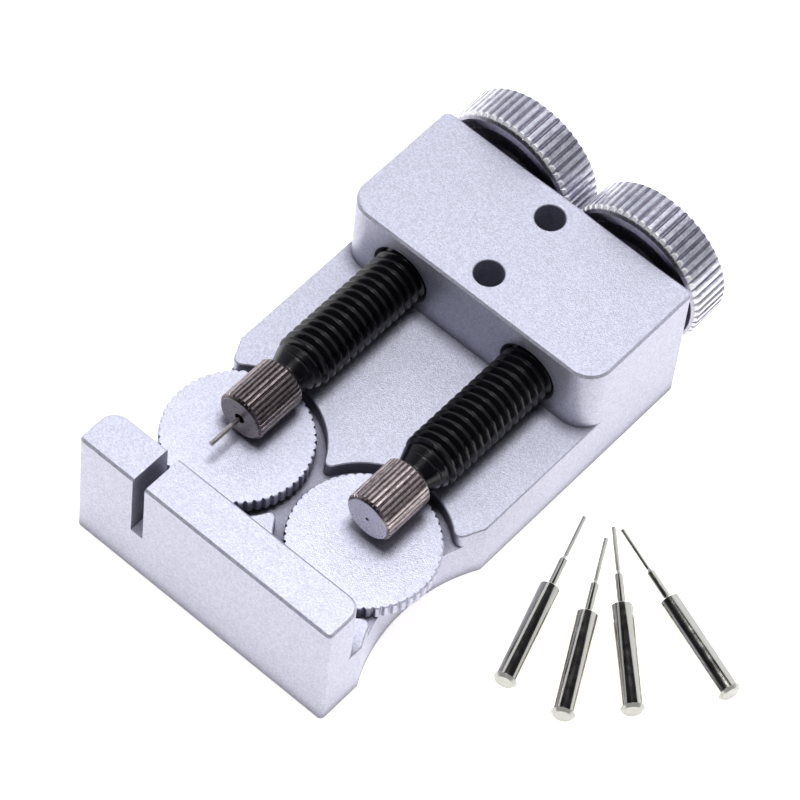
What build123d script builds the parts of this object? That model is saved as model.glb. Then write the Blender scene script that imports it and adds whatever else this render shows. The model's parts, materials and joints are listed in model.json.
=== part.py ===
from build123d import *
import os
from math import cos, pi, sin

os.makedirs("parts", exist_ok=True)

# Twin-spindle watch-bracelet pin remover.  Millimetres, +Z up, +X to the right.
# The fence is at -Y and the knobs at +Y.  The origin is the centre of the base's underside.

# ---- base casting ----
BASE_WIDTH = 31.5
BASE_LENGTH = 52.4
FRONT_Y = -BASE_LENGTH / 2
FLOOR_HEIGHT = 5.5
DECK_HEIGHT = 7.3
FENCE_HEIGHT = 15.0
FENCE_THICKNESS = 4.8
FENCE_REAR_CORNER = 1.8
FENCE_FRONT_CORNER = 0.5
BLOCK_HEIGHT = 16.0
BLOCK_LENGTH = 15.2
BLOCK_FRONT_CORNER = 2.8
BLOCK_REAR_CORNER = 0.8
BLOCK_FRONT_Y = FRONT_Y + BASE_LENGTH - BLOCK_LENGTH
EDGE_BREAK = 0.25
DECK_EDGE_BREAK = 0.12

# ---- waist: finger notches in the two long sides ----
NOTCH_RADIUS = 18.7
NOTCH_CENTRE_X = 32.2

# ---- round tables and the pockets they stand in ----
TABLE_X = 8.1
TABLE_Y = FRONT_Y + 14.0
TABLE_DIAMETER = 15.2
TABLE_THICKNESS = 1.6
TABLE_TEETH = 54
TABLE_TOOTH_DEPTH = 0.24
TABLE_TOP_BREAK = 0.12
TABLE_LIFT_LEFT = 0.8
TABLE_LIFT_RIGHT = 0.05
POCKET_RADIUS = 8.6
POCKET_CUSP_RADIUS = 0.6
DECK_HORN_RADIUS = 0.8

# ---- table stud, M4 x 0.7 drawn as a plain cylinder, and its friction ring ----
STUD_DIAMETER = 3.9
STUD_HOLE_DIAMETER = 4.0
STUD_LENGTH = 5.6
STUD_HEAD_DIAMETER = 5.0
STUD_SLOT_WIDTH = 0.6
STUD_SLOT_DEPTH = 0.7
STUD_END_CHAMFER = 0.4
TABLE_SKIN = 0.35
RING_OUTER_DIAMETER = 8.0
RING_INNER_DIAMETER = 5.4
RING_THICKNESS = 0.6
RING_RECESS_DIAMETER = 8.2
RING_GAP = 0.05

# ---- spindles, M6 x 1 right-hand ----
SPINDLE_X = 8.1
SPINDLE_Z = 10.8
THREAD_PITCH = 1.0
THREAD_DIAMETER = 5.95
THREAD_ROOT_DIAMETER = 4.75
THREAD_CREST = 0.16
THREAD_FOOT = 0.92
THREAD_SINK = 0.12
SPINDLE_BORE_DIAMETER = 6.05
BORE_CHAMFER = 0.35
COLLAR_DIAMETER = 5.99
COLLAR_FRONT_Y = FRONT_Y + 52.1
COLLAR_REAR_Y = FRONT_Y + 52.95
NOSE_END_Y = FRONT_Y + 20.3
NECK_DIAMETER = 3.9
NECK_REAR_Y = FRONT_Y + 20.6
NOSE_CONE_REAR_Y = FRONT_Y + 23.2
THREAD_START_Y = FRONT_Y + 21.2
STUB_END_Y = FRONT_Y + 17.0
STUB_DIAMETER = 3.5
STUB_CHAMFER = 0.3
JOURNAL_DIAMETER = 4.4
JOURNAL_LENGTH = 2.8
PIN_BORE_DIAMETER = 2.5
PIN_BORE_END_Y = FRONT_Y + 30.5

# ---- knurled caps on the spindle noses ----
CAP_FRONT_Y = FRONT_Y + 14.1
CAP_LENGTH = 6.2
CAP_DIAMETER = 5.4
CAP_TEETH = 32
CAP_TOOTH_DEPTH = 0.2
CAP_CHAMFER = 0.35
CAP_HOLE_DIAMETER = 1.15
CAP_SOCKET_CLEARANCE = 0.04
SWIVEL_CLEARANCE = 0.1
CENTRE_MARK_DIAMETER = 0.4
CENTRE_MARK_DEPTH = 0.12

# ---- spring ring that keeps the swivelling press cap on its spindle ----
SWIVEL_RING_Y = FRONT_Y + 18.4
SWIVEL_RING_THICKNESS = 0.4
SWIVEL_RING_INNER = 2.9
SWIVEL_RING_OUTER = 4.1
SWIVEL_GROOVE_WIDTH = 0.5
SWIVEL_GROOVE_DIAMETER = 4.3
SWIVEL_RING_SPLIT = 0.7

# ---- knurled knobs ----
KNOB_FRONT_Y = COLLAR_REAR_Y
KNOB_LENGTH = 4.8
KNOB_DIAMETER = 16.0
KNOB_TEETH = 54
KNOB_TOOTH_DEPTH = 0.32
KNOB_FRONT_CHAMFER = 0.55
KNOB_REAR_CHAMFER = 0.3
KNOB_BOSS_DIAMETER = 8.0
KNOB_RELIEF_DIAMETER = 13.0
KNOB_RELIEF_DEPTH = 0.3
KNOB_DISH_DIAMETER = 11.5
KNOB_DISH_DEPTH = 0.4

# ---- stepped push pins: one fitted, four spare ----
PIN_SHANK_DIAMETER = 2.4
PIN_SHANK_LENGTH = 11.5
PIN_STEP_DIAMETER = 0.95
PIN_STEP_LENGTH = 3.4
PIN_TIP_DIAMETER = 0.5
PIN_TIP_LENGTH = 5.4
PIN_BUTT_CHAMFER = 0.3
PIN_SHOULDER_CONE = 0.55
PIN_STEP_CONE = 0.45
FITTED_PIN_TIP_Y = FRONT_Y + 10.1
PIN_LENGTH = PIN_SHANK_LENGTH + PIN_STEP_LENGTH + PIN_TIP_LENGTH

# Spare pins lie on the ground to the right: x and y of the shank's front end, heading in degrees.
SPARE_PINS = [
    (22.35, FRONT_Y + 25.35, 108.0),
    (26.85, FRONT_Y + 25.55, 118.2),
    (28.65, FRONT_Y + 28.55, 135.0),
    (31.50, FRONT_Y + 32.20, 160.3),
]

# ---- holes in the block's top, and the pin's way out through the fence ----
STORE_HOLE_DIAMETER = 3.1
STORE_HOLE_DEPTH = 12.0
STORE_HOLE_CONE = 0.9
STORE_HOLES_Y = [FRONT_Y + 40.35, FRONT_Y + 49.45]
STORE_HOLE_BREAK = 0.1
SLOT_WIDTH = 1.5
SLOT_BOTTOM = 6.4

THROUGH = 2.0


def toothed_ring(diameter, depth, count, land=0.42, root=0.16):
    """The corners of a ring of straight V-shaped teeth; land and root are shares of one tooth."""
    outer = diameter / 2
    inner = outer - depth
    slope = (1 - land - root) / 2
    points = []
    for tooth in range(count):
        for share, radius in ((0, outer), (land, outer), (land + slope, inner), (1 - slope, inner)):
            angle = 2 * pi * (tooth + share) / count
            points.append((radius * cos(angle), radius * sin(angle)))
    return points


def along_y(x, y):
    """A plane on a spindle's axis whose normal points at the knobs."""
    return Plane(origin=(x, y, SPINDLE_Z), x_dir=(1, 0, 0), z_dir=(0, 1, 0))


def side_plane(x):
    """A vertical plane through a spindle's axis, for profiles that are revolved about it."""
    return Plane(origin=(x, 0, SPINDLE_Z), x_dir=(0, 1, 0), z_dir=(1, 0, 0))


def spindle_axis(x):
    return Axis((x, 0, SPINDLE_Z), (0, 1, 0))


def cut_notches():
    """Cut the two finger notches into the long sides of the footprint being drawn."""
    with Locations((NOTCH_CENTRE_X, TABLE_Y), (-NOTCH_CENTRE_X, TABLE_Y)):
        Circle(NOTCH_RADIUS, mode=Mode.SUBTRACT)


def make_casting():
    with BuildPart() as casting:
        with BuildSketch() as base:
            Rectangle(BASE_WIDTH, BASE_LENGTH)
            fillet(base.vertices().group_by(Axis.Y)[-1], BLOCK_REAR_CORNER)
            fillet(base.vertices().group_by(Axis.Y)[0], FENCE_FRONT_CORNER)
            cut_notches()
        extrude(amount=FLOOR_HEIGHT)

        with BuildSketch() as deck:
            Rectangle(BASE_WIDTH, BASE_LENGTH)
            fillet(deck.vertices().group_by(Axis.Y)[-1], BLOCK_REAR_CORNER)
            fillet(deck.vertices().group_by(Axis.Y)[0], FENCE_FRONT_CORNER)
            cut_notches()
            with Locations((TABLE_X, TABLE_Y), (-TABLE_X, TABLE_Y)):
                Circle(POCKET_RADIUS, mode=Mode.SUBTRACT)
            tips = deck.vertices().filter_by(lambda v: v.Y < BLOCK_FRONT_Y - BLOCK_LENGTH / 2)
            fillet(tips.filter_by(lambda v: abs(v.X) < POCKET_CUSP_RADIUS), POCKET_CUSP_RADIUS)
            level_with_pockets = deck.vertices().filter_by(lambda v: abs(v.Y - TABLE_Y) < POCKET_RADIUS)
            horns = level_with_pockets.filter_by(lambda v: abs(v.X) > TABLE_X)
            fillet(horns, DECK_HORN_RADIUS)
        extrude(amount=DECK_HEIGHT)
        deck_tops = casting.faces().group_by(Axis.Z)[-1]
        chamfer(deck_tops.edges(), DECK_EDGE_BREAK)

        with BuildSketch() as fence:
            with Locations((0, FRONT_Y + FENCE_THICKNESS / 2)):
                Rectangle(BASE_WIDTH, FENCE_THICKNESS)
            fillet(fence.vertices().group_by(Axis.Y)[-1], FENCE_REAR_CORNER)
            fillet(fence.vertices().group_by(Axis.Y)[0], FENCE_FRONT_CORNER)
        extrude(amount=FENCE_HEIGHT)
        fence_top = casting.faces().sort_by(Axis.Z)[-1]
        chamfer(fence_top.edges(), EDGE_BREAK)

        with BuildSketch() as block:
            with Locations((0, BLOCK_FRONT_Y + BLOCK_LENGTH / 2)):
                Rectangle(BASE_WIDTH, BLOCK_LENGTH)
            fillet(block.vertices().group_by(Axis.Y)[0], BLOCK_FRONT_CORNER)
            fillet(block.vertices().group_by(Axis.Y)[-1], BLOCK_REAR_CORNER)
        extrude(amount=BLOCK_HEIGHT)
        block_top = casting.faces().sort_by(Axis.Z)[-1]
        chamfer(block_top.edges(), EDGE_BREAK)

        with BuildSketch(Plane.XY.offset(SLOT_BOTTOM)):
            with Locations((-SPINDLE_X, FRONT_Y + FENCE_THICKNESS / 2)):
                Rectangle(SLOT_WIDTH, FENCE_THICKNESS + THROUGH)
        extrude(amount=FENCE_HEIGHT, mode=Mode.SUBTRACT)

        with Locations(Plane.XY.offset(FLOOR_HEIGHT)):
            with Locations((TABLE_X, TABLE_Y), (-TABLE_X, TABLE_Y)):
                Hole(STUD_HOLE_DIAMETER / 2)

        for x in (-SPINDLE_X, SPINDLE_X):
            with BuildSketch(along_y(x, BLOCK_FRONT_Y)):
                Circle(SPINDLE_BORE_DIAMETER / 2)
            extrude(amount=BLOCK_LENGTH, mode=Mode.SUBTRACT)
        bore_mouths = casting.edges().filter_by(GeomType.CIRCLE).filter_by(
            lambda e: abs(e.radius - SPINDLE_BORE_DIAMETER / 2) < 1e-6 and e.arc_center.Z > DECK_HEIGHT
        )
        chamfer(bore_mouths, BORE_CHAMFER)

        for y in STORE_HOLES_Y:
            with BuildSketch(Plane.YZ):
                with BuildLine():
                    Polyline(
                        (y, BLOCK_HEIGHT),
                        (y + STORE_HOLE_DIAMETER / 2 + STORE_HOLE_BREAK, BLOCK_HEIGHT),
                        (y + STORE_HOLE_DIAMETER / 2, BLOCK_HEIGHT - STORE_HOLE_BREAK),
                        (y + STORE_HOLE_DIAMETER / 2, BLOCK_HEIGHT - STORE_HOLE_DEPTH),
                        (y, BLOCK_HEIGHT - STORE_HOLE_DEPTH - STORE_HOLE_CONE),
                        close=True,
                    )
                make_face()
            revolve(axis=Axis((0, y, 0), (0, 0, 1)), mode=Mode.SUBTRACT)
    return casting


def thread_ridge(x):
    """The helical ridge of a spindle, a trapezium swept along the root from the nose to the collar."""
    root = THREAD_ROOT_DIAMETER / 2
    height = THREAD_DIAMETER / 2 - root
    foot = THREAD_FOOT / 2
    start = THREAD_START_Y
    end = COLLAR_FRONT_Y + THREAD_PITCH / 2
    with BuildPart() as ridge:
        with BuildLine() as path:
            Helix(
                pitch=THREAD_PITCH,
                height=end - start,
                radius=root,
                center=(x, start, SPINDLE_Z),
                direction=(0, 1, 0),
            )
        helix = path.wires()[0]
        begin = helix @ 0
        outwards = begin - Vector(x, start, SPINDLE_Z)
        with BuildSketch(Plane(origin=begin, x_dir=outwards, z_dir=helix % 0)):
            with BuildLine():
                Polyline(
                    (-THREAD_SINK, -foot),
                    (height, -THREAD_CREST / 2),
                    (height, THREAD_CREST / 2),
                    (-THREAD_SINK, foot),
                    close=True,
                )
            make_face()
        sweep(path=helix, is_frenet=True)
    return ridge.part


def make_spindle(x, bored):
    """A threaded spindle: cap stub, neck, conical nose that the thread runs out on, and knob journal.

    The bored one takes the push pin; the other has a groove in its stub for the spring ring.
    """
    ridge = thread_ridge(x)
    stub = STUB_DIAMETER / 2
    neck = NECK_DIAMETER / 2
    collar = COLLAR_DIAMETER / 2
    journal = JOURNAL_DIAMETER / 2
    journal_end = COLLAR_REAR_Y + JOURNAL_LENGTH
    with BuildPart() as spindle:
        with Locations(along_y(x, (NOSE_END_Y + COLLAR_REAR_Y) / 2)):
            Cylinder(THREAD_ROOT_DIAMETER / 2, COLLAR_REAR_Y - NOSE_END_Y)
        add(ridge)
        with BuildSketch(side_plane(x)):
            with BuildLine():
                Polyline(
                    (NOSE_END_Y, 0),
                    (NOSE_END_Y, neck),
                    (NECK_REAR_Y, neck),
                    (NOSE_CONE_REAR_Y, collar),
                    (COLLAR_REAR_Y, collar),
                    (COLLAR_REAR_Y, 0),
                    close=True,
                )
            make_face()
        revolve(axis=spindle_axis(x), mode=Mode.INTERSECT)
        with BuildSketch(side_plane(x)):
            with BuildLine():
                Polyline(
                    (NECK_REAR_Y, 0),
                    (STUB_END_Y, 0),
                    (STUB_END_Y, stub - STUB_CHAMFER),
                    (STUB_END_Y + STUB_CHAMFER, stub),
                    (NECK_REAR_Y, stub),
                    close=True,
                )
            make_face()
        revolve(axis=spindle_axis(x))
        with BuildSketch(side_plane(x)):
            with BuildLine():
                Polyline(
                    (COLLAR_FRONT_Y, 0),
                    (COLLAR_FRONT_Y, collar),
                    (COLLAR_REAR_Y, collar),
                    (COLLAR_REAR_Y, journal),
                    (journal_end - STUB_CHAMFER, journal),
                    (journal_end, journal - STUB_CHAMFER),
                    (journal_end, 0),
                    close=True,
                )
            make_face()
        revolve(axis=spindle_axis(x))
        if bored:
            with Locations(along_y(x, (STUB_END_Y + PIN_BORE_END_Y) / 2)):
                Cylinder(PIN_BORE_DIAMETER / 2, PIN_BORE_END_Y - STUB_END_Y, mode=Mode.SUBTRACT)
        else:
            with BuildSketch(along_y(x, SWIVEL_RING_Y - SWIVEL_GROOVE_WIDTH / 2)):
                Circle(STUB_DIAMETER / 2 + THROUGH)
                Circle(SWIVEL_RING_INNER / 2, mode=Mode.SUBTRACT)
            extrude(amount=SWIVEL_GROOVE_WIDTH, mode=Mode.SUBTRACT)
    return spindle


def make_knob(x):
    """A straight-knurled knob, chamfered at both ends, pressed on the spindle's journal."""
    outer = KNOB_DIAMETER / 2
    rear = KNOB_FRONT_Y + KNOB_LENGTH
    relief = KNOB_FRONT_Y + KNOB_RELIEF_DEPTH
    with BuildPart() as knob:
        with BuildSketch(along_y(x, KNOB_FRONT_Y)):
            with BuildLine():
                Polyline(*toothed_ring(KNOB_DIAMETER, KNOB_TOOTH_DEPTH, KNOB_TEETH), close=True)
            make_face()
        extrude(amount=KNOB_LENGTH)
        with BuildSketch(side_plane(x)):
            with BuildLine():
                Polyline(
                    (KNOB_FRONT_Y, JOURNAL_DIAMETER / 2),
                    (KNOB_FRONT_Y, KNOB_BOSS_DIAMETER / 2),
                    (relief, KNOB_BOSS_DIAMETER / 2 + KNOB_RELIEF_DEPTH),
                    (relief, KNOB_RELIEF_DIAMETER / 2 - KNOB_RELIEF_DEPTH),
                    (KNOB_FRONT_Y, KNOB_RELIEF_DIAMETER / 2),
                    (KNOB_FRONT_Y, outer - KNOB_FRONT_CHAMFER),
                    (KNOB_FRONT_Y + KNOB_FRONT_CHAMFER, outer),
                    (rear - KNOB_REAR_CHAMFER, outer),
                    (rear, outer - KNOB_REAR_CHAMFER),
                    (rear, KNOB_DISH_DIAMETER / 2 + KNOB_DISH_DEPTH),
                    (rear - KNOB_DISH_DEPTH, KNOB_DISH_DIAMETER / 2),
                    (rear - KNOB_DISH_DEPTH, 0),
                    (KNOB_FRONT_Y + JOURNAL_LENGTH, 0),
                    (KNOB_FRONT_Y + JOURNAL_LENGTH, JOURNAL_DIAMETER / 2),
                    close=True,
                )
            make_face()
        revolve(axis=spindle_axis(x), mode=Mode.INTERSECT)
    return knob


def cap_blank(x):
    """The straight-knurled sleeve shared by both caps, still solid."""
    outer = CAP_DIAMETER / 2
    rear = CAP_FRONT_Y + CAP_LENGTH
    with BuildPart() as cap:
        with BuildSketch(along_y(x, CAP_FRONT_Y)):
            with BuildLine():
                Polyline(*toothed_ring(CAP_DIAMETER, CAP_TOOTH_DEPTH, CAP_TEETH), close=True)
            make_face()
        extrude(amount=CAP_LENGTH)
        with BuildSketch(side_plane(x)):
            with BuildLine():
                Polyline(
                    (CAP_FRONT_Y, 0),
                    (CAP_FRONT_Y, outer - CAP_CHAMFER),
                    (CAP_FRONT_Y + CAP_CHAMFER, outer),
                    (rear - CAP_CHAMFER, outer),
                    (rear, outer - CAP_CHAMFER),
                    (rear, 0),
                    close=True,
                )
            make_face()
        revolve(axis=spindle_axis(x), mode=Mode.INTERSECT)
    return cap.part


def round_cut(x, start, end, diameter):
    """Cut a round hole along a spindle's axis in the part that is being built."""
    with Locations(along_y(x, (start + end) / 2)):
        Cylinder(diameter / 2, end - start, mode=Mode.SUBTRACT)


def push_pin(tip, heading):
    """A stepped pin given by its tip and the direction it points in, lying flat."""
    backwards = Vector(-1, 0, 0).rotate(Axis.Z, heading)
    step = PIN_TIP_LENGTH + PIN_STEP_LENGTH
    shank = PIN_SHANK_DIAMETER / 2
    middle = PIN_STEP_DIAMETER / 2
    point = PIN_TIP_DIAMETER / 2
    with BuildPart() as pin:
        with BuildSketch(Plane(origin=tip, x_dir=backwards, z_dir=(0, 0, 1))):
            with BuildLine():
                Polyline(
                    (0, 0),
                    (0, point),
                    (PIN_TIP_LENGTH - PIN_STEP_CONE, point),
                    (PIN_TIP_LENGTH, middle),
                    (step - PIN_SHOULDER_CONE / 2, middle),
                    (step, middle + PIN_SHOULDER_CONE / 2),
                    (step, shank - PIN_BUTT_CHAMFER / 2),
                    (step + PIN_BUTT_CHAMFER / 2, shank),
                    (PIN_LENGTH - PIN_BUTT_CHAMFER, shank),
                    (PIN_LENGTH, shank - PIN_BUTT_CHAMFER),
                    (PIN_LENGTH, 0),
                    close=True,
                )
            make_face()
        revolve(axis=Axis(tip, backwards))
    return pin


def make_table(x, lift):
    """A round table with a serrated rim; its underside is recessed for the ring and the stud's head."""
    bottom = FLOOR_HEIGHT + lift
    top = bottom + TABLE_THICKNESS
    outer = TABLE_DIAMETER / 2
    ceiling = bottom + RING_THICKNESS + RING_GAP
    head = STUD_HEAD_DIAMETER / 2
    with BuildPart() as table:
        with BuildSketch(Plane((x, TABLE_Y, bottom))):
            with BuildLine():
                Polyline(*toothed_ring(TABLE_DIAMETER, TABLE_TOOTH_DEPTH, TABLE_TEETH), close=True)
            make_face()
        extrude(amount=TABLE_THICKNESS)
        with BuildSketch(Plane(origin=(x, TABLE_Y, 0), x_dir=(1, 0, 0), z_dir=(0, -1, 0))):
            with BuildLine():
                Polyline(
                    (0, top),
                    (outer - TABLE_TOP_BREAK, top),
                    (outer, top - TABLE_TOP_BREAK),
                    (outer, bottom + TABLE_TOP_BREAK),
                    (outer - TABLE_TOP_BREAK, bottom),
                    (RING_RECESS_DIAMETER / 2, bottom),
                    (RING_RECESS_DIAMETER / 2, ceiling),
                    (head, ceiling),
                    (head, top - TABLE_SKIN),
                    (0, top - TABLE_SKIN),
                    close=True,
                )
            make_face()
        revolve(axis=Axis((x, TABLE_Y, 0), (0, 0, 1)), mode=Mode.INTERSECT)
    return table


def make_stud(x, lift):
    """The table's screw: a head pressed in the table, a plain body in place of M4, a slotted end."""
    top = FLOOR_HEIGHT + lift + TABLE_THICKNESS - TABLE_SKIN
    body = STUD_DIAMETER / 2
    head = STUD_HEAD_DIAMETER / 2
    end = top - STUD_LENGTH
    shoulder = FLOOR_HEIGHT + lift
    with BuildPart() as stud:
        with BuildSketch(Plane(origin=(x, TABLE_Y, 0), x_dir=(1, 0, 0), z_dir=(0, -1, 0))):
            with BuildLine():
                Polyline(
                    (0, top),
                    (head, top),
                    (head, shoulder),
                    (body, shoulder),
                    (body, end + STUD_END_CHAMFER),
                    (body - STUD_END_CHAMFER, end),
                    (0, end),
                    close=True,
                )
            make_face()
        revolve(axis=Axis((x, TABLE_Y, 0), (0, 0, 1)))
        with BuildSketch(Plane((x, TABLE_Y, end))):
            Rectangle(STUD_DIAMETER, STUD_SLOT_WIDTH)
        extrude(amount=STUD_SLOT_DEPTH, mode=Mode.SUBTRACT)
    return stud


def make_friction_ring(x, lift):
    with BuildPart() as ring:
        with BuildSketch(Plane((x, TABLE_Y, FLOOR_HEIGHT + lift))):
            Circle(RING_OUTER_DIAMETER / 2)
            Circle(RING_INNER_DIAMETER / 2, mode=Mode.SUBTRACT)
        extrude(amount=RING_THICKNESS)
    return ring


def save(name, built):
    built.part.label = name
    export_step(built.part, f"parts/{name}.step")


# ---- casting ----
save("body_casting", make_casting())

# ---- left spindle: bored for the push pin, with a screwed-on cap ----
save("spindle_left", make_spindle(-SPINDLE_X, bored=True))
save("knob_left", make_knob(-SPINDLE_X))

blank_left = cap_blank(-SPINDLE_X)
with BuildPart() as chuck_cap_left:
    add(blank_left)
    round_cut(-SPINDLE_X, STUB_END_Y, NOSE_END_Y + THROUGH, STUB_DIAMETER + 2 * CAP_SOCKET_CLEARANCE)
    round_cut(-SPINDLE_X, CAP_FRONT_Y - THROUGH, STUB_END_Y, CAP_HOLE_DIAMETER)
save("chuck_cap_left", chuck_cap_left)
save("push_pin", push_pin((-SPINDLE_X, FITTED_PIN_TIP_Y, SPINDLE_Z), -90))

# ---- right spindle: a plain press cap that swivels on a spring ring ----
save("spindle_right", make_spindle(SPINDLE_X, bored=False))
save("knob_right", make_knob(SPINDLE_X))

blank_right = cap_blank(SPINDLE_X)
groove_front = SWIVEL_RING_Y - SWIVEL_GROOVE_WIDTH / 2
groove_rear = SWIVEL_RING_Y + SWIVEL_GROOVE_WIDTH / 2
with BuildPart() as press_cap_right:
    add(blank_right)
    socket_end = STUB_END_Y - SWIVEL_CLEARANCE
    round_cut(SPINDLE_X, socket_end, NOSE_END_Y + THROUGH, STUB_DIAMETER + 2 * CAP_SOCKET_CLEARANCE)
    round_cut(SPINDLE_X, groove_front, groove_rear, SWIVEL_GROOVE_DIAMETER)
    round_cut(SPINDLE_X, CAP_FRONT_Y - THROUGH, CAP_FRONT_Y + CENTRE_MARK_DEPTH, CENTRE_MARK_DIAMETER)
save("press_cap_right", press_cap_right)

with BuildPart() as swivel_ring:
    with BuildSketch(along_y(SPINDLE_X, SWIVEL_RING_Y - SWIVEL_RING_THICKNESS / 2)):
        Circle(SWIVEL_RING_OUTER / 2)
        Circle(SWIVEL_RING_INNER / 2, mode=Mode.SUBTRACT)
        with Locations((SWIVEL_RING_OUTER / 2, 0)):
            Rectangle(SWIVEL_RING_OUTER, SWIVEL_RING_SPLIT, mode=Mode.SUBTRACT)
    extrude(amount=SWIVEL_RING_THICKNESS)
save("swivel_ring", swivel_ring)

# ---- tables ----
for side, x, lift in (("left", -TABLE_X, TABLE_LIFT_LEFT), ("right", TABLE_X, TABLE_LIFT_RIGHT)):
    save(f"table_{side}", make_table(x, lift))
    save(f"table_stud_{side}", make_stud(x, lift))
    save(f"table_ring_{side}", make_friction_ring(x, lift))

# ---- spare pins ----
for number, (x, y, heading) in enumerate(SPARE_PINS, start=1):
    nose_length = PIN_TIP_LENGTH + PIN_STEP_LENGTH
    reach = Vector(nose_length, 0, 0).rotate(Axis.Z, heading)
    tip = Vector(x, y, PIN_SHANK_DIAMETER / 2) + reach
    save(f"spare_pin_{number}", push_pin(tuple(tip), heading))
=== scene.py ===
import json
import math

import bpy
from mathutils import Matrix, Vector


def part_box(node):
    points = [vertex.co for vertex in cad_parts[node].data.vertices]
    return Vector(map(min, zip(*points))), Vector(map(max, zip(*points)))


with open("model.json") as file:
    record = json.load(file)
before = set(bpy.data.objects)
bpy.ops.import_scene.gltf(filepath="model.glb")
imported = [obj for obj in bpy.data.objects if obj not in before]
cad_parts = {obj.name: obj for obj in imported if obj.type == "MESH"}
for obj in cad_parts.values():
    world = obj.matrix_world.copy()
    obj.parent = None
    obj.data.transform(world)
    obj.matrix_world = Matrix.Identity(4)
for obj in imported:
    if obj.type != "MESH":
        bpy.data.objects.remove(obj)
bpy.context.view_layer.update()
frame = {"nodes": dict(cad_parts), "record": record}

MM = 0.001


def add_object(name, data):
    """A new object with this data, linked into the scene."""
    made = bpy.data.objects.new(name, data)
    bpy.context.scene.collection.objects.link(made)
    return made


# ---------------------------------------------------------------- camera
# The photograph's viewing angle: azimuth is from the fence's side (-Y) towards +X.
CAMERA_AZIMUTH = math.radians(35.35)
CAMERA_ELEVATION = math.radians(56.38)
CAMERA_ROLL = math.radians(7.24)
CAMERA_DISTANCE = 444.8 * MM
CAMERA_TARGET = Vector((0.41, 1.60, 8.0)) * MM
CAMERA_LENS = 208.45
CAMERA_SENSOR = 36.0
CAMERA_CLIP = (0.01, 20.0)


def add_camera():
    data = bpy.data.cameras.new("camera")
    data.lens = CAMERA_LENS
    data.sensor_width = CAMERA_SENSOR
    data.clip_start, data.clip_end = CAMERA_CLIP
    camera = add_object("camera", data)
    level = math.cos(CAMERA_ELEVATION)
    away = Vector((
        math.sin(CAMERA_AZIMUTH) * level,
        -math.cos(CAMERA_AZIMUTH) * level,
        math.sin(CAMERA_ELEVATION),
    ))
    camera.location = CAMERA_TARGET + away * CAMERA_DISTANCE
    look = (-away).to_track_quat("-Z", "Y").to_matrix()
    camera.rotation_euler = (look @ Matrix.Rotation(CAMERA_ROLL, 3, "Z")).to_euler()
    bpy.context.scene.camera = camera


# ---------------------------------------------------------------- directions and measures of the frame
UP = (0, 0, 1)
ALONG_SPINDLES = (0, 1, 0)
# The axes square to an upright axis, and to an axis along the spindles.
ACROSS_UPRIGHT = (1, 1, 0)
ACROSS_SPINDLES = (1, 0, 1)


def middle(node):
    """The middle of a node's box, where a turned part has its axis."""
    low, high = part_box(node)
    return tuple((a + b) / 2 for a, b in zip(low, high))


def outer_radius(node):
    """Half the width of a turned part, in millimetres."""
    low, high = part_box(node)
    return (high[0] - low[0]) / 2 / MM


def butt_end(pin, heading):
    """A lying pin's direction from butt to tip, and the place of its butt end along it, in metres."""
    direction = Vector((math.cos(math.radians(heading)), math.sin(math.radians(heading)), 0))
    return direction, min(direction.dot(v.co) for v in frame["nodes"][pin].data.vertices)


# ---------------------------------------------------------------- colours
# A pair is the darkest and the lightest base colour of one finish.
CAST_TONES = (0.56, 0.565, 0.655), (0.71, 0.715, 0.83)
TABLE_TONES = (0.61, 0.615, 0.715), (0.76, 0.765, 0.885)
OXIDE_TONES = (0.005, 0.004, 0.008), (0.011, 0.009, 0.015)
KNOB_TONES = (0.62, 0.62, 0.69), (0.92, 0.92, 1.0)
KNOB_RIM_HIGHLIGHT_TONES = (0.90, 0.90, 0.96), (1.0, 1.0, 1.0)
CHUCK_CAP_TONES = (0.25, 0.222, 0.228), (0.45, 0.40, 0.406)
CHUCK_FACE_TONES = (0.28, 0.255, 0.255), (0.38, 0.35, 0.35)
PRESS_CAP_TONES = (0.44, 0.394, 0.40), (0.74, 0.663, 0.669)
PRESS_FACE_TONES = (0.64, 0.62, 0.67), (0.78, 0.76, 0.82)
STUD_TONES = (0.40, 0.41, 0.43), (0.55, 0.56, 0.58)
PUSH_PIN_TONES = (0.40, 0.375, 0.37), (0.58, 0.555, 0.545)
SPARE_PIN_TONES = (0.80, 0.79, 0.735), (0.92, 0.91, 0.855)
CUT_END_TONES = (0.60, 0.60, 0.56), (0.74, 0.74, 0.70)
NYLON_TONES = (0.62, 0.60, 0.54), (0.72, 0.70, 0.64)
PAPER_TONES = (0.86, 0.86, 0.87), (0.90, 0.90, 0.91)
FELT_TONES = (0.01, 0.01, 0.012), (0.02, 0.02, 0.024)

# What painted shade in corners and knurl grooves leaves of a base colour; where none is painted it is all
# of it.
UNSHADED = (1, 1, 1)
CORNER_PAINTED_SHADE = (0.34, 0.33, 0.37)
KNOB_GROOVE_SHADE = (0.60, 0.58, 0.61)
CAP_GROOVE_SHADE = (0.46, 0.44, 0.45)

PAPER_LIGHT = (1.0, 0.97, 0.945)
SKY_LIGHT = (0.955, 0.965, 1.0)


# ---------------------------------------------------------------- node helpers
EDGE_SAMPLES = 6
RING_FREQUENCY = 3.0
# What noise mostly stays within: most kinds, the even pebbling, and two kinds added up.
NOISE_REACH = (0.3, 0.7)
PEBBLE_REACH = (0.35, 0.65)
SUM_REACH = (0.74, 1.26)


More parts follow.
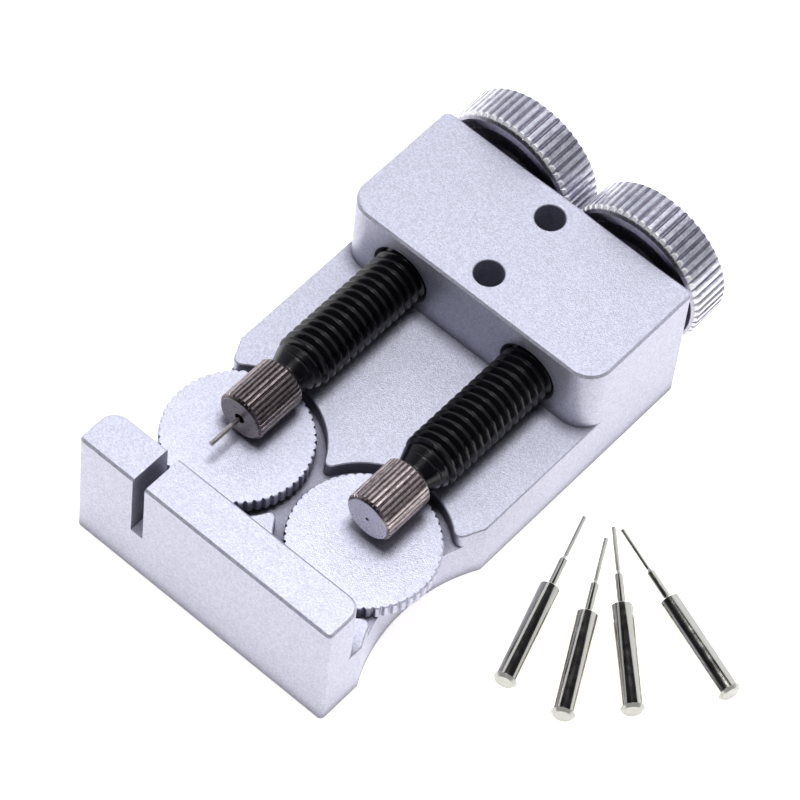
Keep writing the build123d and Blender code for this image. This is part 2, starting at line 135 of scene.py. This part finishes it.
class Graph:
    """A short way to write the node tree of one material.

    Noise is given in features per millimetre, bumps and edges in millimetres. A number or a colour may
    also be the output socket of another node.
    """

    def __init__(self, name):
        self.material = bpy.data.materials.new(name)
        self.material.use_nodes = True
        self.tree = self.material.node_tree
        self.tree.nodes.clear()
        output = self.node("ShaderNodeOutputMaterial")
        self.shader = self.node("ShaderNodeBsdfPrincipled")
        self.plug(self.shader.outputs["BSDF"], output.inputs["Surface"])
        coordinates = self.node("ShaderNodeTexCoord")
        self.position = coordinates.outputs["Object"]
        self.facing = coordinates.outputs["Normal"]

    def node(self, kind, **settings):
        made = self.tree.nodes.new(kind)
        for key, value in settings.items():
            setattr(made, key, value)
        return made

    def plug(self, value, socket):
        """Link a socket to another node's output, or set it to a number, a vector or a colour."""
        if isinstance(value, bpy.types.NodeSocket):
            self.tree.links.new(value, socket)
        elif socket.type == "RGBA":
            socket.default_value = (*value, 1)
        else:
            socket.default_value = value

    def surface(self, **values):
        """Plug values into the shader's own sockets; an underscore stands for a space."""
        for name, value in values.items():
            self.plug(value, self.shader.inputs[name.replace("_", " ")])

    def scaled(self, frequency):
        """Object coordinates, so stretched that one unit is one feature on each axis."""
        mapping = self.node("ShaderNodeMapping")
        self.plug(self.position, mapping.inputs["Vector"])
        self.plug([count / MM for count in frequency], mapping.inputs["Scale"])
        return mapping.outputs["Vector"]

    def noise(self, frequency, detail=2.0, roughness=0.5):
        """Noise of one frequency, or of one frequency per axis."""
        if isinstance(frequency, float):
            frequency = (frequency,) * 3
        texture = self.node("ShaderNodeTexNoise")
        self.plug(self.scaled(frequency), texture.inputs["Vector"])
        self.plug(1.0, texture.inputs["Scale"])
        self.plug(detail, texture.inputs["Detail"])
        self.plug(roughness, texture.inputs["Roughness"])
        return texture.outputs["Fac"]

    def rings_about(self, centre):
        """Fine uneven rings about an upright axis, as a lathe tool leaves them."""
        texture = self.node("ShaderNodeTexNoise", noise_dimensions="1D")
        self.plug(self.radius(centre, ACROSS_UPRIGHT), texture.inputs["W"])
        self.plug(RING_FREQUENCY, texture.inputs["Scale"])
        self.plug(2.0, texture.inputs["Detail"])
        return texture.outputs["Fac"]

    def grains(self, size):
        """A random grey for every grain of about this size in millimetres."""
        cells = self.node("ShaderNodeTexVoronoi")
        self.plug(self.scaled((1 / size,) * 3), cells.inputs["Vector"])
        self.plug(1.0, cells.inputs["Scale"])
        split = self.node("ShaderNodeSeparateColor")
        self.plug(cells.outputs["Color"], split.inputs["Color"])
        return split.outputs["Red"]

    def ramp(self, value, low, high, to_low=0.0, to_high=1.0):
        """The value, mapped so that low..high becomes to_low..to_high and nothing lies outside."""
        mapped = self.node("ShaderNodeMapRange")
        self.plug(value, mapped.inputs["Value"])
        self.plug(low, mapped.inputs["From Min"])
        self.plug(high, mapped.inputs["From Max"])
        self.plug(to_low, mapped.inputs["To Min"])
        self.plug(to_high, mapped.inputs["To Max"])
        return mapped.outputs["Result"]

    def mix(self, amount, first, second, blend_type="MIX"):
        """The first colour where the amount is 0, the second where it is 1."""
        made = self.node("ShaderNodeMix", data_type="RGBA", blend_type=blend_type)
        self.plug(amount, made.inputs["Factor"])
        self.plug(first, made.inputs["A"])
        self.plug(second, made.inputs["B"])
        return made.outputs["Result"]

    def times(self, first, second):
        """One colour times another."""
        return self.mix(1.0, first, second, "MULTIPLY")

    def calculate(self, operation, first, second):
        made = self.node("ShaderNodeMath", operation=operation)
        self.plug(first, made.inputs[0])
        self.plug(second, made.inputs[1])
        return made.outputs[0]

    def along(self, vector, direction):
        """How far a vector reaches along a direction; the surface point does so in metres."""
        made = self.node("ShaderNodeVectorMath", operation="DOT_PRODUCT")
        self.plug(vector, made.inputs[0])
        self.plug(direction, made.inputs[1])
        return made.outputs["Value"]

    def radius(self, centre, across):
        """Distance in millimetres from an axis through centre; across is 1 on the axes square to it."""
        moved = self.node("ShaderNodeVectorMath", operation="SUBTRACT")
        self.plug(self.position, moved.inputs[0])
        self.plug(centre, moved.inputs[1])
        flat = self.node("ShaderNodeVectorMath", operation="MULTIPLY")
        self.plug(moved.outputs["Vector"], flat.inputs[0])
        self.plug([step / MM for step in across], flat.inputs[1])
        length = self.node("ShaderNodeVectorMath", operation="LENGTH")
        self.plug(flat.outputs["Vector"], length.inputs[0])
        return length.outputs["Value"]

    def openness(self, reach):
        """How open the surface is within this reach: 1 on a plain face, towards 0 in a corner."""
        made = self.node("ShaderNodeAmbientOcclusion", samples=EDGE_SAMPLES)
        self.plug(reach * MM, made.inputs["Distance"])
        return made.outputs["AO"]

    def rounded(self, radius):
        """A normal that softens edges up to this radius."""
        made = self.node("ShaderNodeBevel", samples=EDGE_SAMPLES)
        self.plug(radius * MM, made.inputs["Radius"])
        return made.outputs["Normal"]

    def bump(self, height, depth, strength, normal=None):
        """A normal that follows a height map, on top of another normal or of the plain one."""
        made = self.node("ShaderNodeBump")
        self.plug(height, made.inputs["Height"])
        self.plug(depth * MM, made.inputs["Distance"])
        self.plug(strength, made.inputs["Strength"])
        if normal is not None:
            self.plug(normal, made.inputs["Normal"])
        return made.outputs["Normal"]


# ---------------------------------------------------------------- materials of the tool
# Lengths are in millimetres. A fade is the two distances between which one look turns into another.
BLAST_GRAIN = 0.15
BLAST_METALLIC = 0.45
BLAST_ROUGHNESS = (0.36, 0.50)
PAINTED_SHADE_REACH = 2.2
PAINTED_SHADE_OPENNESS = (0.30, 0.88)  # fully painted shade up to the first, none from the second
TOP_FACING = (0.2, 0.8)  # how far a side faces up at the most, and a level top at the least
SIDE_BUMP = 0.35  # of the bump on level tops
TABLE_GRAIN = 0.9  # of the casting's grain

OXIDE_IOR = 1.62
OXIDE_ROUGHNESS = (0.17, 0.29)

KNOB_TOOTH_DEPTH = 0.32
KNOB_ROUGHNESS = (0.26, 0.40)
KNOB_HIGHLIGHT_FADE = (0.82, 0.66)  # behind the knob's front
KNOB_HIGHLIGHT_TOP = 0.3  # of a tooth's height, painted highlight at full strength above it
KNOB_HIGHLIGHT_METALLIC = 0.35
GROOVE_SHADE_TOP = 0.85  # of a tooth's height, no painted shade above it
CAP_TOOTH_DEPTH = 0.20
CAP_ROUGHNESS = (0.24, 0.38)
CAP_FACE_FADE = (0.02, 0.06)  # behind the cap's front
CAP_FACE_METALLIC = 0.6

STUD_ROUGHNESS = (0.25, 0.34)
PUSH_PIN_ROUGHNESS = (0.17, 0.26)
SPARE_PIN_ROUGHNESS = (0.10, 0.19)
CUT_END_FADE = (0.28, 0.34)  # from the pin's butt, just past its chamfer
CUT_END_METALLIC = 0.35

NYLON_IOR = 1.53
NYLON_ROUGHNESS = (0.38, 0.50)


def blasted_metal(name, tones, grain=1.0, turned_about=None):
    """Bead-blasted silver alloy: a pebbled grain of tiny facets, with painted shade darkening the corners.

    The level tops are blasted coarser than the upright sides. A part that was turned on a lathe first
    keeps faint rings about its upright axis.
    """
    g = Graph(name)
    pebble = g.noise(5.5)
    fine = g.noise(10.0, detail=1.0, roughness=0.6)
    # painted shade: the base colour darkens where ambient occlusion finds corners, recesses and gaps
    # between parts
    corner_shade = g.mix(g.ramp(g.openness(PAINTED_SHADE_REACH), *PAINTED_SHADE_OPENNESS), CORNER_PAINTED_SHADE, UNSHADED)
    coarse = g.ramp(g.along(g.facing, UP), *TOP_FACING, SIDE_BUMP, 1.0)
    normal = g.bump(pebble, depth=0.022 * grain, strength=coarse, normal=g.rounded(0.08))
    if turned_about is not None:
        normal = g.bump(g.rings_about(turned_about), depth=0.004, strength=1.0, normal=normal)
    g.surface(
        Base_Color=g.times(g.mix(g.grains(BLAST_GRAIN), *tones), corner_shade),
        Metallic=BLAST_METALLIC,
        Roughness=g.ramp(pebble, *PEBBLE_REACH, *BLAST_ROUGHNESS),
        Normal=g.bump(fine, depth=0.034 * grain, strength=coarse, normal=normal),
    )
    return g.material


def black_oxide(name):
    """Semi-gloss black oxide on steel, with faint turning lines and a little oil haze."""
    g = Graph(name)
    haze = g.noise(0.5, detail=3.0)
    turned = g.noise((0.3, 14.0, 0.3), detail=1.0)
    g.surface(
        Base_Color=g.mix(haze, *OXIDE_TONES),
        Metallic=0.0,
        IOR=OXIDE_IOR,
        Roughness=g.ramp(haze, *NOISE_REACH, *OXIDE_ROUGHNESS),
        Normal=g.bump(turned, depth=0.004, strength=0.6, normal=g.rounded(0.05)),
    )
    return g.material


def fade_along(g, direction, start, fade):
    """0 at the first distance of the fade from start along a direction, 1 at the second."""
    none, full = (start + distance * MM for distance in fade)
    return g.ramp(g.along(g.position, direction), none, full)


def tooth_height(g, node, depth, top):
    """0 at the bottom of a straight knurl's grooves, rising to 1 at the top, a share of their depth."""
    crest = outer_radius(node)
    height = g.radius(middle(node), ACROSS_SPINDLES)
    return g.ramp(height, crest - depth, crest - (1 - top) * depth)


def knurl_plating(g, node, tones, depth, groove_shade):
    """A straight knurl's plating and its specks, with painted shade darkening the grooves."""
    patch = g.noise((1.8, 0.9, 1.8), detail=3.0)
    speck = g.noise((4.0, 2.5, 4.0), detail=3.0, roughness=0.7)
    plating = g.mix(g.ramp(g.calculate("ADD", patch, speck), *SUM_REACH), *tones)
    # painted shade: the knurl's grooves are darkened below the teeth tops
    shade = g.mix(tooth_height(g, node, depth, GROOVE_SHADE_TOP), groove_shade, UNSHADED)
    return g.times(plating, shade), speck


def knurl_scratches(g):
    """A normal with fine scratches along the teeth of a straight knurl."""
    scratch = g.noise((7.0, 0.8, 7.0))
    return g.bump(scratch, depth=0.002, strength=0.7, normal=g.rounded(0.05))


def knob_nickel(name, node):
    """A bright nickel knob with a painted highlight on its teeth at the front rim."""
    g = Graph(name)
    tone, speck = knurl_plating(g, node, KNOB_TONES, KNOB_TOOTH_DEPTH, KNOB_GROOVE_SHADE)
    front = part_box(node)[0][1]
    near_front = fade_along(g, ALONG_SPINDLES, front, KNOB_HIGHLIGHT_FADE)
    on_teeth = tooth_height(g, node, KNOB_TOOTH_DEPTH, KNOB_HIGHLIGHT_TOP)
    # painted highlight: near the front rim the teeth are whiter and less metallic, so the overhead light
    # makes them bright beads
    rim_highlight = g.calculate("MULTIPLY", near_front, on_teeth)
    g.surface(
        Base_Color=g.mix(rim_highlight, tone, g.mix(speck, *KNOB_RIM_HIGHLIGHT_TONES)),
        Metallic=g.ramp(rim_highlight, 0.0, 1.0, 1.0, KNOB_HIGHLIGHT_METALLIC),
        Roughness=g.ramp(speck, *NOISE_REACH, *KNOB_ROUGHNESS),
        Normal=knurl_scratches(g),
    )
    return g.material


def cap_nickel(name, node, tones, face_tones):
    """A dark nickel cap whose flat front end is faced, with a smooth fine grain."""
    g = Graph(name)
    tone, speck = knurl_plating(g, node, tones, CAP_TOOTH_DEPTH, CAP_GROOVE_SHADE)
    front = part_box(node)[0][1]
    behind = fade_along(g, ALONG_SPINDLES, front, CAP_FACE_FADE)
    g.surface(
        Base_Color=g.mix(behind, g.mix(g.noise(6.0), *face_tones), tone),
        Metallic=g.ramp(behind, 0.0, 1.0, CAP_FACE_METALLIC, 1.0),
        Roughness=g.ramp(speck, *NOISE_REACH, *CAP_ROUGHNESS),
        Normal=knurl_scratches(g),
    )
    return g.material


def ground_steel(name, tones, roughness, butt=None):
    """Centreless-ground pin steel: bright, with very fine scratches and small stains.

    butt is a pin's direction and the place of its cut end along it, which is duller.
    """
    g = Graph(name)
    stain = g.noise(0.8, detail=4.0)
    scratch = g.noise(9.0, detail=1.0)
    tone, metallic = g.mix(stain, *tones), 1.0
    if butt is not None:
        ground = fade_along(g, *butt, CUT_END_FADE)
        tone = g.mix(ground, g.mix(scratch, *CUT_END_TONES), tone)
        metallic = g.ramp(ground, 0.0, 1.0, CUT_END_METALLIC, 1.0)
    g.surface(
        Base_Color=tone,
        Metallic=metallic,
        Roughness=g.ramp(stain, *NOISE_REACH, *roughness),
        Normal=g.bump(scratch, depth=0.0015, strength=0.6, normal=g.rounded(0.06)),
    )
    return g.material


def nylon(name):
    """Natural nylon, a little mottled."""
    g = Graph(name)
    speck = g.noise(1.5, detail=3.0)
    g.surface(
        Base_Color=g.mix(speck, *NYLON_TONES),
        IOR=NYLON_IOR,
        Roughness=g.ramp(speck, *NOISE_REACH, *NYLON_ROUGHNESS),
        Normal=g.bump(speck, depth=0.01, strength=0.5),
    )
    return g.material


# ---------------------------------------------------------------- finishes on the CAD nodes
# Where each spare pin's tip points, in degrees from +X towards +Y.
SPARE_PIN_HEADINGS = (108.0, 118.2, 135.0, 160.3)

SLOT_FINISHES = {
    "casting": blasted_metal("casting_alloy", CAST_TONES),
    "black_steel": black_oxide("black_oxide"),
    "stud_steel": ground_steel("stud_steel", STUD_TONES, STUD_ROUGHNESS),
    "ring_nylon": nylon("ring_nylon"),
}
NODE_FINISHES = {
    "push_pin": ground_steel("push_pin_steel", PUSH_PIN_TONES, PUSH_PIN_ROUGHNESS),
    "chuck_cap_left": cap_nickel(
        "chuck_cap_nickel", "chuck_cap_left", CHUCK_CAP_TONES, CHUCK_FACE_TONES
    ),
    "press_cap_right": cap_nickel(
        "press_cap_nickel", "press_cap_right", PRESS_CAP_TONES, PRESS_FACE_TONES
    ),
}
for table in ("table_left", "table_right"):
    NODE_FINISHES[table] = blasted_metal(
        f"{table}_alloy", TABLE_TONES, TABLE_GRAIN, turned_about=middle(table)
    )
for knob in ("knob_left", "knob_right"):
    NODE_FINISHES[knob] = knob_nickel(f"{knob}_nickel", knob)
for number, heading in enumerate(SPARE_PIN_HEADINGS, start=1):
    pin = f"spare_pin_{number}"
    NODE_FINISHES[pin] = ground_steel(
        f"{pin}_steel", SPARE_PIN_TONES, SPARE_PIN_ROUGHNESS, butt_end(pin, heading)
    )

for entry in frame["record"]["subparts"]:
    node = frame["nodes"][entry["node"]]
    finish = NODE_FINISHES.get(entry["node"]) or SLOT_FINISHES[entry["material_slot"]]
    node.data.materials.clear()
    node.data.materials.append(finish)


# ---------------------------------------------------------------- stage and light
FLOOR_HALF_WIDTH = 3.0
FLOOR_DROP = 0.02 * MM
FLOOR_GLOW = 0.64
FLAG_HEIGHT = 15 * MM
FLAG_GAP = 0.5 * MM
FLAG_MARGIN = 2 * MM
DISPLAY_GAMMA = 0.82
DISPLAY_EXPOSURE = 0.22


def glowing_paper(name):
    """White paper over a light table, so that the part's sides are lit from below."""
    g = Graph(name)
    g.surface(
        Base_Color=g.mix(g.noise(0.05, detail=4.0), *PAPER_TONES),
        Roughness=0.9,
        Emission_Color=PAPER_LIGHT,
        Emission_Strength=FLOOR_GLOW,
    )
    return g.material


def black_felt(name):
    """Felt that reflects next to nothing."""
    g = Graph(name)
    g.surface(
        Base_Color=g.mix(g.noise(0.5), *FELT_TONES),
        Roughness=1.0,
        Specular_IOR_Level=0.0,
    )
    return g.material


def add_sheet(name, low, high, height, material):
    """A level rectangle between two opposite corners."""
    corners = [(low[0], low[1]), (high[0], low[1]), (high[0], high[1]), (low[0], high[1])]
    mesh = bpy.data.meshes.new(name)
    mesh.from_pydata([(x, y, height) for x, y in corners], [], [(0, 1, 2, 3)])
    mesh.materials.append(material)
    return add_object(name, mesh)


def add_floor():
    corner = Vector((FLOOR_HALF_WIDTH, FLOOR_HALF_WIDTH))
    floor = add_sheet("floor", -corner, corner, -FLOOR_DROP, glowing_paper("lit_floor"))


def add_flag():
    """A black card over the spare pins, seen only in their gloss, which gives them a dark middle stripe."""
    boxes = [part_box(f"spare_pin_{number}") for number in range(1, 5)]
    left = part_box("body_casting")[1][0] + FLAG_GAP
    right = max(high[0] for low, high in boxes) + FLAG_MARGIN
    front = min(low[1] for low, high in boxes) - FLAG_MARGIN
    back = max(high[1] for low, high in boxes) + FLAG_MARGIN
    flag = add_sheet("flag", (left, front), (right, back), FLAG_HEIGHT, black_felt("flag_felt"))
    flag.visible_camera = False
    flag.visible_diffuse = False
    flag.visible_shadow = False
    flag.visible_transmission = False


def add_overhead(towards, distance, spread, radiance):
    """A round soft light aimed at the part; spread is its half angle as the part sees it, in degrees."""
    radius = distance * math.tan(math.radians(spread))
    data = bpy.data.lights.new("overhead", "AREA")
    data.shape = "DISK"
    data.size = 2 * radius
    data.energy = radiance * math.pi * math.pi * radius**2
    lamp = add_object("overhead", data)
    aim = Vector(towards).normalized()
    lamp.location = CAMERA_TARGET + aim * distance
    lamp.rotation_euler = (-aim).to_track_quat("-Z", "Y").to_euler()


def add_world(bright, dim, dim_towards, inner, outer):
    """A light tent: bright all round, and dim about one direction, where the photographer stands.

    It is fully dim within inner degrees of that direction, and fully bright outside outer degrees.
    """
    world = bpy.data.worlds.new("studio")
    world.use_nodes = True
    tree = world.node_tree
    direction = tree.nodes.new("ShaderNodeTexCoord").outputs["Generated"]
    facing = tree.nodes.new("ShaderNodeVectorMath")
    facing.operation = "DOT_PRODUCT"
    facing.inputs[1].default_value = Vector(dim_towards).normalized()
    level = tree.nodes.new("ShaderNodeMapRange")
    level.interpolation_type = "SMOOTHSTEP"
    level.inputs["From Min"].default_value = math.cos(math.radians(outer))
    level.inputs["From Max"].default_value = math.cos(math.radians(inner))
    level.inputs["To Min"].default_value = bright
    level.inputs["To Max"].default_value = dim
    background = tree.nodes["Background"]
    background.inputs["Color"].default_value = (*SKY_LIGHT, 1)
    tree.links.new(direction, facing.inputs[0])
    tree.links.new(facing.outputs["Value"], level.inputs["Value"])
    tree.links.new(level.outputs["Result"], background.inputs["Strength"])
    bpy.context.scene.world = world


add_camera()
add_floor()
add_world(bright=0.70, dim=0.05, dim_towards=(0.40, -0.88, 0.25), inner=55, outer=125)
add_overhead(towards=(-0.02, 0.02, 1.0), distance=0.4, spread=11, radiance=16.3)
add_flag()

view = bpy.context.scene.view_settings
view.view_transform = "Standard"
view.look = "None"
view.gamma = DISPLAY_GAMMA
view.exposure = DISPLAY_EXPOSURE
